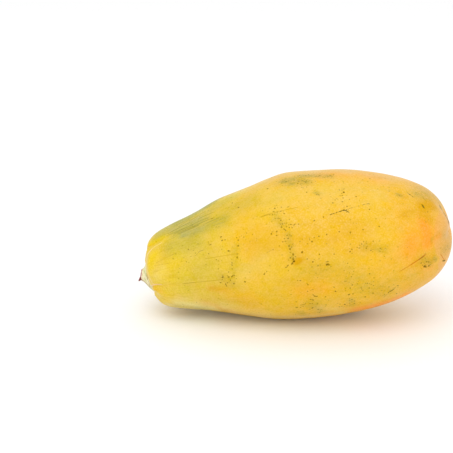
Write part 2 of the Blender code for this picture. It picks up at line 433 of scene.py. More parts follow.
# Specks that stand out, as (along mm, turn in degrees, radius mm). The larger, the darker.
SPECKS = [
    (28, 45, 0.6), (34, -14, 0.7), (37, 28, 0.8), (38, -34, 0.7), (42, 36, 1.0), (43, -28, 0.9),
    (51, 39, 0.7), (60, 34, 0.8), (60, 37, 0.7), (62, 34, 0.8), (64, 9, 0.8), (64, 18, 0.8),
    (66, 0.5, 1.1), (65.5, -2.3, 0.8), (63.5, -5.5, 1.0), (67.3, -7.3, 1.0), (68, -9.3, 0.9),
    (69.2, -5.8, 0.8), (71, 0, 1.1), (72.2, -3.2, 1.0), (74, 0.3, 1.1), (76, 1.6, 0.9),
    (72, 5, 0.8), (75.5, 7.5, 0.7), (76, 11, 1.0), (76.5, 13.5, 0.8), (81.5, 17, 0.9),
    (82, 20, 0.8), (71, 38.5, 1.0), (71, 34.8, 0.9), (74, 35, 0.9), (75.2, 24.2, 1.2),
    (79, 27, 0.7), (84, 27, 1.1), (84.5, 32, 0.9), (84, -5.5, 1.1), (88, 64.3, 1.2), (83, 74, 1.0),
    (65, 63, 0.9), (113, 76, 1.0), (101, 0.5, 0.9), (103.5, 2.5, 0.9), (107, 7, 0.7),
    (118, 14, 0.8), (111.5, 19, 0.8), (120, 23.5, 0.9), (117, 21, 0.7), (112, 31, 0.9),
    (116.5, 32, 1.0), (116, 29, 0.9), (113, 33, 0.7), (122.5, 33, 0.8), (128, 35.5, 0.9),
    (129, 33, 0.8), (131, 35, 0.8), (134, 35, 0.9), (127.5, 39.5, 0.7), (124, 45, 0.9),
    (126.6, 8, 1.5), (125, 6.4, 1.1), (126.4, 10.3, 0.9), (127, 13.5, 1.0), (125, 17.5, 1.0),
    (121.5, 5.5, 0.8), (119.5, 4.2, 0.8), (134, 14, 1.1), (137.5, 8.5, 0.9), (141.6, 6, 1.2),
    (146.6, 7.6, 0.9), (147.5, 11, 0.9), (152, 2.5, 1.3), (152, 4.8, 0.9), (154, 4.8, 0.8),
    (154, 2.4, 1.0), (159, 10, 0.8), (172, 10.5, 1.0), (129.6, -8, 1.0), (127.3, -7.4, 0.7),
    (135, -12, 0.9), (138.5, -17, 0.9), (134, -18, 0.8), (156.2, -17, 1.0), (157, -21, 1.3),
    (171, -17.5, 1.0), (138, -22, 0.9), (139.2, -23.4, 1.0), (141.2, -24, 1.0), (135.4, -26.6, 1.0),
    (137.8, -27.5, 1.0), (148, -25.5, 1.0), (130, -32, 0.9), (122.4, -35, 1.2), (126, -35.5, 0.9),
    (141, -32, 0.9), (138.5, -35, 0.7), (136, -37.5, 1.1), (140.5, -40, 1.0), (141.6, -46.5, 1.2),
    (167.5, -26.6, 1.2), (171, -26.5, 1.0), (163.6, -38, 1.3), (169.8, -33, 1.0), (171.8, -36, 1.0),
    (146.5, 36.2, 1.1), (154, 38.3, 0.9), (155, 25, 1.0), (165, 26, 1.0), (174, 25, 1.0),
    (172.6, 59, 1.3), (171.5, 53.5, 0.9), (170.5, 50, 0.9), (166, 53, 0.7), (173, 62.5, 0.9),
    (159.6, 39.8, 0.9), (162.2, 40.3, 0.8), (164.9, 41.1, 0.9), (170.6, 42.6, 1.0), (167.4, 41.6, 0.7),
    (159, 43.6, 0.8), (171.3, 45.6, 0.9), (173.7, 45.6, 1.0), (173, 41, 0.8), (192, 42.5, 0.9),
    (182.5, 54.5, 0.9), (176.5, 52, 0.9), (184.6, 26.4, 1.0), (198, 27.8, 0.9), (212, 63, 0.8),
    (190.5, 76, 0.9), (197, 79, 0.9), (186, -10, 0.9), (195.5, -0.5, 0.8), (188.5, 2, 0.8),
    (180.5, -33, 1.2), (187, -30.5, 1.0), (200.3, -34, 0.9), (202.5, -34.7, 1.0), (205, -32.5, 0.8),
    (220.5, 59, 0.9), (242, 40, 0.8), (231.5, 44, 0.7), (228.6, -15.5, 1.0),
    (231, -22, 1.7), (234.2, -24, 1.2), (235, -19, 1.0), (233, -17, 0.8), (219, 6, 0.7),
]


def hermite(share, start, end, leave, arrive):
    """A cubic from start to end, with these slopes where it leaves and where it arrives."""
    return (
        (2 * share**3 - 3 * share**2 + 1) * start
        + (share**3 - 2 * share**2 + share) * leave
        + (3 * share**2 - 2 * share**3) * end
        + (share**3 - share**2) * arrive
    )


def smooth_outline(stations_mm, count, crowding=0.0):
    """Points (along, radius) on the half of a closed cubic spline through the stations and their
    mirror images across the axis. They are spaced evenly by length, less crowding times a sine that
    brings them closer together at the two ends."""
    half = np.array(stations_mm) * MM
    loop = np.vstack([half, half[-2:0:-1] * [1, -1]])
    after = np.roll(loop, -1, axis=0)
    knot_gap = np.linalg.norm(after - loop, axis=1) ** 0.75
    gap_before = np.roll(knot_gap, 1)
    index = np.arange(len(loop))
    matrix = np.zeros((len(loop), len(loop)))
    matrix[index, index] = 2 / gap_before + 2 / knot_gap
    matrix[index, index - 1] = 1 / gap_before
    matrix[index, (index + 1) % len(loop)] = 1 / knot_gap
    rise = (after - loop) / knot_gap[:, None] ** 2
    slopes = np.linalg.solve(matrix, 3 * (rise + np.roll(rise, 1, axis=0)))
    spans = len(half) - 1
    share = np.linspace(0, 1, 60, endpoint=False)[:, None, None]
    leave = slopes[:spans] * knot_gap[:spans, None]
    arrive = slopes[1 : spans + 1] * knot_gap[:spans, None]
    curve = hermite(share, loop[:spans], after[:spans], leave, arrive)
    curve = np.vstack([curve.transpose(1, 0, 2).reshape(-1, 2), half[-1:]])
    travelled = np.concatenate([[0], np.cumsum(np.linalg.norm(np.diff(curve, axis=0), axis=1))])
    share = np.linspace(0, 1, count)
    wanted = travelled[-1] * (share - crowding * np.sin(2 * math.pi * share))
    return np.column_stack([np.interp(wanted, travelled, curve[:, k]) for k in (0, 1)])


def outline_grid(stations_mm, size, crowding=0.0):
    """A grid of (rings, points round) for an outline carried round the axis: along and radius down a
    column, and turn along a row."""
    rings, turns = size
    outline = smooth_outline(stations_mm, rings, crowding)
    turn = np.linspace(0, 2 * math.pi, turns, endpoint=False)[None, :]
    return outline[:, :1], outline[:, 1:], turn


def smooth_step(value):
    """0 below 0, 1 above 1, and an S-shaped rise between."""
    value = np.clip(value, 0, 1)
    return value**2 * (3 - 2 * value)


def bend(along):
    """The bent axis's height and slope: cubics through the bend's stations."""
    knots, heights = np.array(BEND_MM).T * MM
    slopes = np.gradient(heights, knots)
    inside = np.clip(along, 0, FRUIT_LENGTH)
    span = np.clip(np.searchsorted(knots, inside) - 1, 0, len(knots) - 2)
    width = knots[span + 1] - knots[span]
    share = (inside - knots[span]) / width
    leave, arrive = slopes[span], slopes[span + 1]
    height = hermite(share, heights[span], heights[span + 1], leave * width, arrive * width)
    slope = leave + (arrive - leave) * share
    return height + slope * (along - inside), slope


def as_it_lies(along, radius, turn, drop=0.0):
    """Points round the axis once it is bent and leaned: each ring is a circle square to the bent
    axis, moved down across it by drop, and the whole is turned about Y by the lean."""
    across = radius * np.sin(turn) - drop
    height, slope = bend(along + 0 * turn)
    steepness = np.sqrt(1 + slope**2)
    x = along - across * slope / steepness
    z = height + across / steepness
    cos, sin = math.cos(LEAN), math.sin(LEAN)
    return np.stack([x * cos - z * sin, -radius * np.cos(turn), x * sin + z * cos], axis=-1)


def straightened(along, radius, turn):
    """Points round the axis while it is still straight and level. Patterns are laid out on them:
    with one radius for all, a pattern runs from end to end with the growth and has no seam."""
    parts = (along, radius * np.cos(turn), radius * np.sin(turn))
    return np.stack(np.broadcast_arrays(*parts), axis=-1)


def basin_drop(along, radius):
    """How far a ring is moved down because it is in the stem basin or on its rim."""
    nearness = smooth_step((BASIN_REACH - radius) / (BASIN_REACH - BASIN_RADIUS))
    return np.where(along < BASIN_REACH, BASIN_DROP * nearness, 0)


def angle_between(turn, other):
    """Signed angle from other to turn, between minus and plus half a turn."""
    return (turn - other + math.pi) % (2 * math.pi) - math.pi


def bell(distance, reach):
    """1 at no distance, and next to nothing past twice the reach."""
    return np.exp(-((distance / reach) ** 2))


def unveered(along, turn):
    """Turn with each groove's veer at the stem end taken out: every groove pulls the turns near it
    by its own veer, which fades with the distance along."""
    pulled = 0 * (along + turn)
    for groove, veer in zip(GROOVE_TURNS, GROOVE_VEERS):
        pull = veer * np.exp(-np.maximum(along, 0) / VEER_FADE)
        pulled = pulled + pull * bell(angle_between(turn, groove + pull), VEER_WIDTH)
    return turn - pulled


def valley(turn):
    """1 at the bottom of a groove and 0 on the crown of a lobe: a rounded sine between grooves."""
    first = GROOVE_TURNS[0]
    stops = GROOVE_TURNS + [first + 2 * math.pi]
    lobe = np.interp((turn - first) % (2 * math.pi) + first, stops, range(len(stops)))
    crown = np.sin(math.pi * lobe)
    rounded = np.sqrt(crown**2 + GROOVE_ROUNDING**2) - GROOVE_ROUNDING
    return 1 - rounded / (math.sqrt(1 + GROOVE_ROUNDING**2) - GROOVE_ROUNDING)


def groove_distance(turn, radius, offset=0.0):
    """Distance over the skin to the nearest groove, or to the line beside it on its corky side."""
    sides = [(at, side) for at, side in zip(GROOVE_TURNS, CORK_SIDES) if side or not offset]
    away = [np.abs(angle_between(turn, at) * radius - side * offset) for at, side in sides]
    return np.min(away, axis=0)


def waves(where, wavelength, seed):
    """Gentle random relief, mostly between -1 and 1: the sum of 24 plane cosine waves of about this
    wavelength, each in a random direction."""
    draw = np.random.default_rng(seed)
    direction = draw.normal(size=(24, 3))
    direction /= np.linalg.norm(direction, axis=1)[:, None]
    pace = 2 * math.pi / (wavelength * draw.uniform(0.7, 1.5, 24))
    phase = draw.uniform(0, 2 * math.pi, 24)
    return np.cos(where @ (direction * pace[:, None]).T + phase).sum(axis=-1) / 7


def skin_relief(along, radius, turn):
    """How far the skin stands out from the plain outline: lobes and creases sink it, swells, a
    corky rim and gentle waves lift it, and the blossom scar is a small dimple."""
    straight = unveered(along, turn)
    depth = (
        BELLY_GROOVE
        + STEM_GROOVE * np.exp(-along / STEM_GROOVE_FADE)
        + TIP_GROOVE * np.exp(-(FRUIT_LENGTH - along) / TIP_GROOVE_FADE)
    )
    opening = np.minimum(radius / GROOVE_STARTS_AT, 1) ** 2
    relief = -depth * opening * valley(straight)
    crease = CREASE_DEPTH * np.exp(-np.abs(along) / CREASE_FADE) * opening
    relief = relief - crease * bell(groove_distance(straight, radius), CREASE_WIDTH)

    for at_mm, degrees, height_mm, reach_mm in SWELLS:
        far = np.hypot(along - at_mm * MM, angle_between(turn, math.radians(degrees)) * radius)
        relief = relief + height_mm * MM * bell(far, reach_mm * MM)

    place = straightened(along, radius, turn)
    calm = np.minimum(radius / CALM_RADIUS, 1)
    for height_mm, wavelength_mm, seed in SKIN_WAVES:
        relief = relief + height_mm * MM * calm * waves(place, wavelength_mm * MM, seed)

    at_rim = bell(radius - RIM_RADIUS, CORK_WIDTH) * (along < FRUIT_LENGTH / 2)
    relief = relief + CORK_HEIGHT * at_rim * (1 + 0.4 * waves(place, 9 * MM, seed=6))
    at_tip = bell(radius, DIMPLE_RADIUS) * (along > FRUIT_LENGTH / 2)
    return relief - DIMPLE_DEPTH * at_tip


def fruit_skin():
    """The skin's grid: the outline moved along its own normal by the relief, then bent and leaned.
    Returns along, radius, turn and the points, with the first and last ring shrunk to the poles."""
    along, radius, turn = outline_grid(OUTLINE_MM, SKIN_GRID, CROWDING)
    ahead = np.gradient(np.hstack([along, radius]), axis=0)
    normal = np.column_stack([-ahead[:, 1], ahead[:, 0]])
    normal /= np.linalg.norm(normal, axis=1)[:, None]
    relief = skin_relief(along, radius, turn)
    out = radius + normal[:, 1:] * relief
    out[[0, -1]] = 0
    end = along + normal[:, :1] * relief
    end[[0, -1]] = end[[0, -1]].mean(axis=1, keepdims=True)
    points = as_it_lies(end, out, turn, basin_drop(along, radius))
    return along, radius, turn, points


def shift_to_cad():
    """The move that brings the box of the plain skin, without grooves or relief, to the CAD fruit's:
    middle to middle along X and Y, and top to top, because the CAD fruit is cut flat below."""
    along, radius, turn = outline_grid(OUTLINE_MM, (200, 120), CROWDING)
    points = as_it_lies(along, radius, turn, basin_drop(along, radius)).reshape(-1, 3)
    plain_low, plain_high = points.min(axis=0), points.max(axis=0)
    low, high = (np.array(corner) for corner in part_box("fruit"))
    shift = (low + high - plain_low - plain_high) / 2
    shift[2] = high[2] - plain_high[2]
    return shift


def on_skin(along_mm, degrees):
    """The point of the plain skin at this distance along and this turn."""
    outline = smooth_outline(OUTLINE_MM, 600)
    outside = outline[np.argmin(outline[:, 0]) :]
    along = np.array(along_mm) * MM
    radius = np.interp(along, outside[:, 0], outside[:, 1])
    return as_it_lies(along, radius, np.radians(degrees)) + SHIFT


def run_distance(points, start, end):
    """Distance from each point to the straight run between two points of the skin."""
    run = end - start
    share = np.clip((points - start) @ run / max(run @ run, 1e-12), 0, 1)
    return np.linalg.norm(points - start - share[..., None] * run, axis=-1)


def cast(points, runs):
    """How strongly these runs colour each point: the strongest of strength times a bell of the
    distance over the reach."""
    found = np.zeros(points.shape[:-1])
    for start, end, reach_mm, strength in runs:
        far = run_distance(points, on_skin(*start), on_skin(*end))
        found = np.maximum(found, strength * bell(far, reach_mm * MM))
    return found


def thin_marks(points, runs):
    """For marks thinner than the grid: of the nearest run, how far to its side a point is, over its
    reach and with a sign, how far away the run is in mm, and its strength. The sign lets the
    material find the middle of the run between two points of the grid."""
    found = np.full(points.shape[:-1] + (3,), FAR_OFF)
    for (along, degrees), (along_2, degrees_2), reach_mm, strength in runs:
        start, end = on_skin(along, degrees), on_skin(along_2, degrees_2)
        away = run_distance(points, start, end) / MM
        # Outward is away from the axis, and near its ends from a point 20 mm inside them.
        inside = np.array(np.clip(along, 20, 240) * MM)
        outward = start - as_it_lies(inside, 0, np.radians(degrees)) - SHIFT
        side = np.cross(end - start, outward)
        across = (points - start) @ side / np.linalg.norm(side) / (reach_mm * MM)
        mark = np.stack([np.clip(across, -FAR_OFF, FAR_OFF), away, strength + 0 * away], axis=-1)
        found = np.where((away < found[..., 1])[..., None], mark, found)
    return found


def placed_specks(along, radius, turn):
    """For each point, its place from the middle of the nearest speck: along and across over the
    speck's radius, and how far it is in mm; and that radius in mm."""
    found = np.full(np.broadcast(along, radius, turn).shape + (3,), FAR_OFF)
    size = np.zeros(found.shape[:-1])
    for along_mm, degrees, radius_mm in SPECKS:
        ahead = (along - along_mm * MM) / (radius_mm * MM) + 0 * turn
        across = angle_between(turn, math.radians(degrees)) * radius / (radius_mm * MM)
        away = np.where(radius > RIM_RADIUS, np.hypot(ahead, across) * radius_mm, FAR_OFF)
        speck = np.stack([ahead, across, away], axis=-1)
        nearest = away < found[..., 2]
        found = np.where(nearest[..., None], speck, found)
        size = np.where(nearest, radius_mm, size)
    return np.clip(found, -FAR_OFF, FAR_OFF), size


def scattered_swarms(count, seed):
    """Speck swarms on the sides that the listed ones leave bare: short runs at random places,
    written as the listed ones are."""
    draw = np.random.default_rng(seed)
    along = draw.uniform(35, 240, count)
    degrees = draw.uniform(98, 300, count)
    runs = np.column_stack([draw.uniform(2, 14, count), draw.normal(0, 6, count)])
    reach, strength = draw.uniform(3, 9, count), draw.uniform(0.35, 1, count)
    starts = np.column_stack([along, degrees])
    return list(zip(starts, starts + runs, reach, strength))


def new_object(name, data):
    """An object at the origin of the scene that shows this data."""
    made = bpy.data.objects.new(name, data)
    bpy.context.scene.collection.objects.link(made)
    return made


def closed_skin(name, points, values, material):
    """A piece whose rings run from its -X end to its +X end. The first and last rings are points,
    so each is one pole with a fan of triangles; quads join the rings between. Values are numbers
    kept for each point of the grid, for the material to read."""
    rings, turns = points.shape[:2]
    inner = points[1:-1].reshape(-1, 3)
    vertices = np.vstack([inner, points[0, :1], points[-1, :1]])
    this = np.arange(turns)
    beyond = (this + 1) % turns
    ring = np.arange(rings - 3)[:, None] * turns
    quads = np.stack([ring + this, ring + turns + this, ring + turns + beyond, ring + beyond], -1)
    first_pole, last_pole = len(inner), len(inner) + 1
    last_ring = (rings - 3) * turns
    first = np.stack([np.full(turns, first_pole), this, beyond], -1)
    last = np.stack([np.full(turns, last_pole), last_ring + beyond, last_ring + this], -1)
    faces = quads.reshape(-1, 4).tolist() + first.tolist() + last.tolist()
    mesh = bpy.data.meshes.new(name)
    mesh.from_pydata(vertices.tolist(), [], faces)
    for key, value in values.items():
        shaped = np.broadcast_to(value, (rings, turns) + value.shape[2:])
        flat = [shaped[1:-1].reshape(-1, *value.shape[2:]), shaped[0, :1], shaped[-1, :1]]
        kind, slot = ("FLOAT_VECTOR", "vector") if value.ndim == 3 else ("FLOAT", "value")
        layer = mesh.attributes.new(key, kind, "POINT")
        layer.data.foreach_set(slot, np.concatenate(flat).astype(np.float32).ravel())
    mesh.shade_smooth()
    mesh.materials.append(material)
    return new_object(name, mesh)


def colour(hex_code):
    """An sRGB hex colour as linear red, green, blue and an alpha of 1."""
    parts = [int(hex_code[k : k + 2], 16) / 255 for k in (1, 3, 5)]
    linear = [p / 12.92 if p <= 0.04045 else ((p + 0.055) / 1.055) ** 2.4 for p in parts]
    return (*linear, 1.0)


def give(tree, node, inputs):
    """Gives each input of a node a value, or a link from a socket or from a node's first output. An
    input goes by its name or number: a MapRange's are 0 for the value, 1 and 2 for the range it
    comes from, and 3 and 4 for the one it goes to, which is 0 to 1 unless it is given."""
    for key, value in inputs.items():
        source = value.outputs[0] if isinstance(value, bpy.types.Node) else value
        if isinstance(source, bpy.types.NodeSocket):
            tree.links.new(source, node.inputs[key])
        else:
            node.inputs[key].default_value = source


def add(tree, kind, inputs=None, **settings):
    """Adds a node with these inputs and settings."""
    node = tree.nodes.new("ShaderNode" + kind)
    for name, value in settings.items():
        setattr(node, name, value)
    give(tree, node, inputs or {})
    return node


def new_material(name):
    """An empty material with its Principled BSDF, and the tree they are in."""
    material = bpy.data.materials.new(name)
    material.use_nodes = True
    return material, material.node_tree, material.node_tree.nodes["Principled BSDF"]


def coated(tree, base, coats):
    """The base colour with coats laid over it in turn. Each coat is a colour, as a hex code or a
    link, and how much of what is under it it hides."""
    for tint, amount in coats:
        over = colour(tint) if isinstance(tint, str) else tint
        base = add(tree, "Mix", {0: amount, 6: base, 7: over}, data_type="RGBA").outputs[2]
    return base


def uneven(tree, value, noise, wear):
    """A value made uneven by noise, which takes away or adds up to wear of it."""
    sway = add(tree, "MapRange", {0: noise, 1: 0.3, 2: 0.7, 3: 1 - wear, 4: 1 + wear})
    return add(tree, "Math", {0: value, 1: sway}, operation="MULTIPLY", use_clamp=True)


def broken(tree, value, noise, wear, low, high):
    """A value with noise added, cut softly between low and high, so that its edge is ragged."""
    ragged = add(tree, "Math", {0: noise, 1: wear, 2: value}, operation="MULTIPLY_ADD")
    level = add(tree, "Math", {0: ragged, 1: wear / 2}, operation="SUBTRACT")
    return add(tree, "MapRange", {0: level, 1: low, 2: high}, interpolation_type="SMOOTHSTEP")


def specks(tree, place, cell_mm, radius_mm, share, softness=0.35):
    """Round specks, one at most to each random cell. Share is the part of the cells that have one,
    and their radii run from 0.55 to 1.15 of the one given. Returns how much of a speck there is, and
    its cell's own random tone."""
    cells = add(tree, "TexVoronoi", {"Vector": place, "Scale": 1 / (cell_mm * MM)})
    chance, girth, tone = add(tree, "SeparateColor", {0: cells.outputs["Color"]}).outputs
    chosen = add(tree, "Math", {0: share, 1: chance}, operation="GREATER_THAN")
    radius = radius_mm / cell_mm
    edge = add(tree, "MapRange", {0: girth, 3: 0.55 * radius, 4: 1.15 * radius})
    core = add(tree, "Math", {0: edge, 1: 1 - softness}, operation="MULTIPLY")
    fade = {0: cells.outputs["Distance"], 1: edge, 2: core}
    disc = add(tree, "MapRange", fade, interpolation_type="SMOOTHSTEP")
    return add(tree, "Math", {0: disc, 1: chosen}, operation="MULTIPLY"), tone


def skin_readings(tree):
    """The numbers that the fruit's skin keeps on its points."""
    keys = (*CASTS, "ripeness", "blossom_cap", "speck_size", "cork", "basin", "crease", "neck")
    return {key: add(tree, "Attribute", attribute_name=key).outputs["Fac"] for key in keys}


def skin_noises(tree, place):
    """Clouds of 25 mm, a bloom of 7 mm and a grain of 1.3 mm; blotches of 8 mm and mottling of 3 mm,
    drawn out to twice that along the growth; and streaks 1.6 mm apart, drawn out to 16 mm."""
    growth = add(tree, "Attribute", attribute_name="growth").outputs["Vector"]
    twofold = add(tree, "Mapping", {0: growth, 3: (0.5, 1.0, 1.0)})
    tenfold = add(tree, "Mapping", {0: growth, 3: (0.1, 1.0, 1.0)})
    noises = {}
    for name, where, size_mm, detail, distortion in (
        ("clouds", place, 25, 2.0, 0.0),
        ("bloom", place, 7, 4.0, 0.0),
        ("fine", place, 1.3, 1.0, 0.0),
        ("blotches", twofold, 8, 2.0, 0.0),
        ("mottle", twofold, 3, 2.0, 0.0),
        ("streaks", tenfold, 1.6, 2.0, 0.3),
    ):
        pattern = {"Vector": where, "Scale": 1 / (size_mm * MM), "Distortion": distortion}
        noises[name] = add(tree, "TexNoise", {**pattern, "Detail": detail})
    return noises


def ripening(tree, read, noise):
    """The yellows from the neck to the blossom end. The clouds make their bounds uneven."""
    stops = [
        (0.02, "#E2C208"),
        (0.08, "#DBBF1E"),
        (0.14, "#D5BA30"),
        (0.22, "#D8B724"),
        (0.32, "#DFB600"),
        (0.50, "#E1B400"),
        (0.74, "#E5B40C"),
        (0.92, "#E4AC1C"),
    ]
    cloud = add(tree, "Math", {0: noise["clouds"], 1: 0.5}, operation="SUBTRACT")
    ripe = add(tree, "Math", {0: cloud, 1: 0.12, 2: read["ripeness"]}, operation="MULTIPLY_ADD")
    yellows = add(tree, "ValToRGB", {0: ripe})
    elements = yellows.color_ramp.elements
    while len(elements) < len(stops):
        elements.new(0.5)
    for element, (position, code) in zip(elements, stops):
        element.position = position
        element.color = colour(code)
    return yellows


def blotch_coats(tree, read, noise):
    """Duller olive, warmer and paler blotches over the whole skin, and the dull cap round the
    blossom end, with an edge of its own."""
    coats = []
    for name, code, low, high, most in (
        ("blotches", "#B49A1C", 0.45, 0.75, 0.20),
        ("clouds", "#EAA404", 0.42, 0.75, 0.30),
        ("mottle", "#A98E16", 0.45, 0.80, 0.28),
        ("bloom", "#E6BE66", 0.30, 0.70, 0.27),
    ):
        coats.append((code, add(tree, "MapRange", {0: noise[name], 1: low, 2: high, 4: most})))
    cap = broken(tree, read["blossom_cap"], noise["blotches"], 0.35, 0.0, 0.10)
    coats.append(("#E2A84C", add(tree, "Math", {0: cap, 1: 0.85}, operation="MULTIPLY")))
    return coats


def cast_coats(tree, read, noise):
    """The casts: of each its colour, the noise that makes it uneven, and by how much."""
    casts = [
        ("lemon_glow", "#E4C200", "clouds", 0.3),
        ("orange_blush_and_painted_shade", "#F69412", "clouds", 0.3),
        ("golden_spot", "#D69E00", "blotches", 0.3),
        # The pale and tan casts hold painted light: a paler underside lit from below and a pale sheen
        # along the top edge.
        ("pale_bloom_and_painted_light", "#E6D98F", "blotches", 0.4),
        ("tan_bloom_and_painted_light", "#DCAE66", "blotches", 0.5),
        ("green_flush", "#868F1C", "clouds", 0.3),
        ("grey_flush", "#9A9C68", "blotches", 0.5),
        ("olive_cast", "#8F8600", "mottle", 0.45),
        ("dark_scar", "#5C4A20", "bloom", 0.8),
    ]
    return [(code, uneven(tree, read[key], noise[name], wear)) for key, code, name, wear in casts]


def striae_coats(tree, read, noise):
    """Grey-green hatching in the flush, faint deeper yellow striae from the stem end, and painted
    shade down in the creases, a deeper yellow."""
    hatch = broken(tree, noise["streaks"], noise["mottle"], 0.30, 0.55, 0.66)
    flush = add(tree, "MapRange", {0: read["green_flush"], 1: 0.15, 2: 0.65, 4: 0.42})
    hatch = add(tree, "Math", {0: hatch, 1: flush}, operation="MULTIPLY")
    striae = broken(tree, noise["streaks"], noise["mottle"], 0.10, 0.50, 0.70)
    striae = add(tree, "Math", {0: striae, 1: read["neck"]}, operation="MULTIPLY")
    striae = add(tree, "Math", {0: striae, 1: 0.20}, operation="MULTIPLY")
    # Painted shade: a deeper yellow down in the creases.
    crease = add(tree, "Math", {0: read["crease"], 1: 0.7}, operation="MULTIPLY")
    return [("#6B7434", hatch), ("#B98F10", striae), ("#D6A400", crease)]


def grained(tree, skin, noise):
    """The skin's colour made up to a twentieth darker or lighter by the mottling, and by the grain."""
    mottle, grain = (
        add(tree, "MapRange", {0: noise[name], 1: 0.25, 2: 0.75, 3: 0.95, 4: 1.04})
        for name in ("mottle", "fine")
    )
    both = add(tree, "Math", {0: mottle, 1: grain}, operation="MULTIPLY")
    return add(tree, "VectorMath", {0: skin, "Scale": both}, operation="SCALE")


def mark_coats(tree, read, noise):
    """Thin marks: of each its colour, how ragged its edge is, and how much of the skin it hides. The
    growth lines are grey-green in the flush and golden brown elsewhere."""
    flush = {0: read["green_flush"], 1: 2.0}
    green = add(tree, "Math", flush, operation="MULTIPLY", use_clamp=True)
    coats = []
    for key, tint, wear, most in (
        ("rim_line", "#EFD8B4", 0.5, 0.85),
        ("growth_line_and_fold_shade", coated(tree, colour("#B08A12"), [("#5F6C2C", green)]), 0.9, 0.60),
        ("orange_scratch", "#C46E12", 0.9, 0.80),
        ("dark_scratch", "#454800", 2.4, 0.85),
        ("brown_scar", "#57401A", 0.9, 0.85),
    ):
        mark = add(tree, "Attribute", attribute_name=key).outputs["Vector"]
        across, away, strength = add(tree, "SeparateXYZ", {0: mark}).outputs
        across = add(tree, "Math", {0: across}, operation="ABSOLUTE")
        inside = add(tree, "Math", {0: strength, 1: across}, operation="SUBTRACT")
        near = add(tree, "MapRange", {0: away, 1: 2.0, 2: 1.0, 4: most})
        shown = broken(tree, inside, noise["fine"], wear, 0.0, 0.5)
        coats.append((tint, add(tree, "Math", {0: shown, 1: near}, operation="MULTIPLY")))
    return coats


def placed_speck_coat(tree, read, noise):
    """The specks that stand out: discs with ragged edges, the larger the darker."""
    from_speck = add(tree, "Attribute", attribute_name="from_speck").outputs["Vector"]
    ahead, across, away = add(tree, "SeparateXYZ", {0: from_speck}).outputs
    flat = add(tree, "CombineXYZ", {0: ahead, 1: across})
    out = add(tree, "VectorMath", {0: flat}, operation="LENGTH").outputs["Value"]
    ragged = add(tree, "Math", {0: noise["fine"], 1: out}, operation="ADD")
    disc = add(tree, "MapRange", {0: ragged, 1: 1.35, 2: 0.75}, interpolation_type="SMOOTHSTEP")
    # Between two specks the place runs through 0 too, but there they are further away than it says.
    reach = add(tree, "Math", {0: out, 1: read["speck_size"]}, operation="MULTIPLY")
    gap = add(tree, "Math", {0: away, 1: reach}, operation="SUBTRACT")
    near = add(tree, "MapRange", {0: gap, 1: 0.95, 2: 0.75})
    disc = add(tree, "Math", {0: disc, 1: near}, operation="MULTIPLY")
    tone = add(tree, "MapRange", {0: read["speck_size"], 1: 0.6, 2: 1.4, 3: 0.50, 4: 0.88})
    return "#5A4400", add(tree, "Math", {0: disc, 1: tone}, operation="MULTIPLY")


def swarm_coats(tree, read, place):
    """Specks a little ragged at the edge: fine ones in the olive casts, swarms of 1.6 mm ones with a
    few larger ones among them, and faint ones by themselves all over."""
    ragged = add(tree, "TexNoise", {"Vector": place, "Scale": 1 / (1.2 * MM)}).outputs["Color"]
    centred = add(tree, "VectorMath", {0: ragged, 1: (0.5, 0.5, 0.5)}, operation="SUBTRACT")
    jog = add(tree, "VectorMath", {0: centred, "Scale": 0.7 * MM}, operation="SCALE")
    jogged = add(tree, "VectorMath", {0: place, 1: jog}, operation="ADD")
    coats = []
    for where, cell_mm, radius_mm, more, least, code, most in (
        ("olive_cast", 1.7, 0.70, 0.90, 0.00, "#6C6600", 0.62),
        ("speck_swarm", 1.9, 0.82, 0.95, 0.00, "#605200", 0.66),
        ("speck_swarm", 6.2, 1.05, 0.50, 0.00, "#564200", 0.80),
        ("speck_swarm", 2.6, 0.78, 0.30, 0.14, "#8A7800", 0.42),
    ):
        share = add(tree, "Math", {0: read[where], 1: more, 2: least}, operation="MULTIPLY_ADD")
        speck, tone = specks(tree, jogged, cell_mm, radius_mm, share)
        depth = add(tree, "MapRange", {0: tone, 3: 0.45 * most, 4: most})
        coats.append((code, add(tree, "Math", {0: speck, 1: depth}, operation="MULTIPLY")))
    return coats


def cork_coats(tree, read, noise):
    """The stem basin is pale and dry, with blotches of cork. Cork lines its rim and the edges of the
    lobes beside the creases too."""
    pale = add(tree, "Math", {0: read["basin"], 1: 0.75}, operation="MULTIPLY")
    blotched = broken(tree, read["basin"], noise["bloom"], 1.8, 0.75, 1.25)
    cork = broken(tree, read["cork"], noise["fine"], 0.7, 0.0, 0.8)
    return [("#DDCB86", pale), ("#C89A62", blotched), ("#E0BE90", cork)]


def wax_gloss(tree, read, noise, worn, cork):
    """Roughness and specular level. The wax is patchy. The golden spots and the yellow of the stem
    end have less of it, so they shine less, and specks, scratches and scars have hardly any."""
    rough = add(tree, "MapRange", {0: noise["clouds"], 1: 0.3, 2: 0.7, 3: 0.32, 4: 0.42})
    dull = add(tree, "Math", {0: cork, 1: read["basin"]}, operation="MAXIMUM")
    dull = add(tree, "Math", {0: worn, 1: dull}, operation="MAXIMUM")
    rough = add(tree, "Math", {0: dull, 1: 0.2, 2: rough}, operation="MULTIPLY_ADD")
    bare = add(tree, "Math", {0: read["golden_spot"], 1: read["lemon_glow"]}, operation="MAXIMUM")
    wax = add(tree, "MapRange", {0: bare, 1: 0.3, 2: 1.2, 3: 0.5, 4: 0.15})
    patches = {0: noise["bloom"], 1: 0.35, 2: noise["fine"]}
    patchy = add(tree, "Math", patches, operation="MULTIPLY_ADD")
    patchy = add(tree, "MapRange", {0: patchy, 1: 0.475, 2: 0.875, 3: 0.3, 4: 1.7})
    wax = add(tree, "Math", {0: wax, 1: patchy}, operation="MULTIPLY")
    rubbed = add(tree, "Math", {0: worn, 1: read["dark_scar"]}, operation="MAXIMUM")
    whole = add(tree, "Math", {0: 1.0, 1: rubbed}, operation="SUBTRACT", use_clamp=True)
    return rough, add(tree, "Math", {0: wax, 1: whole}, operation="MULTIPLY")


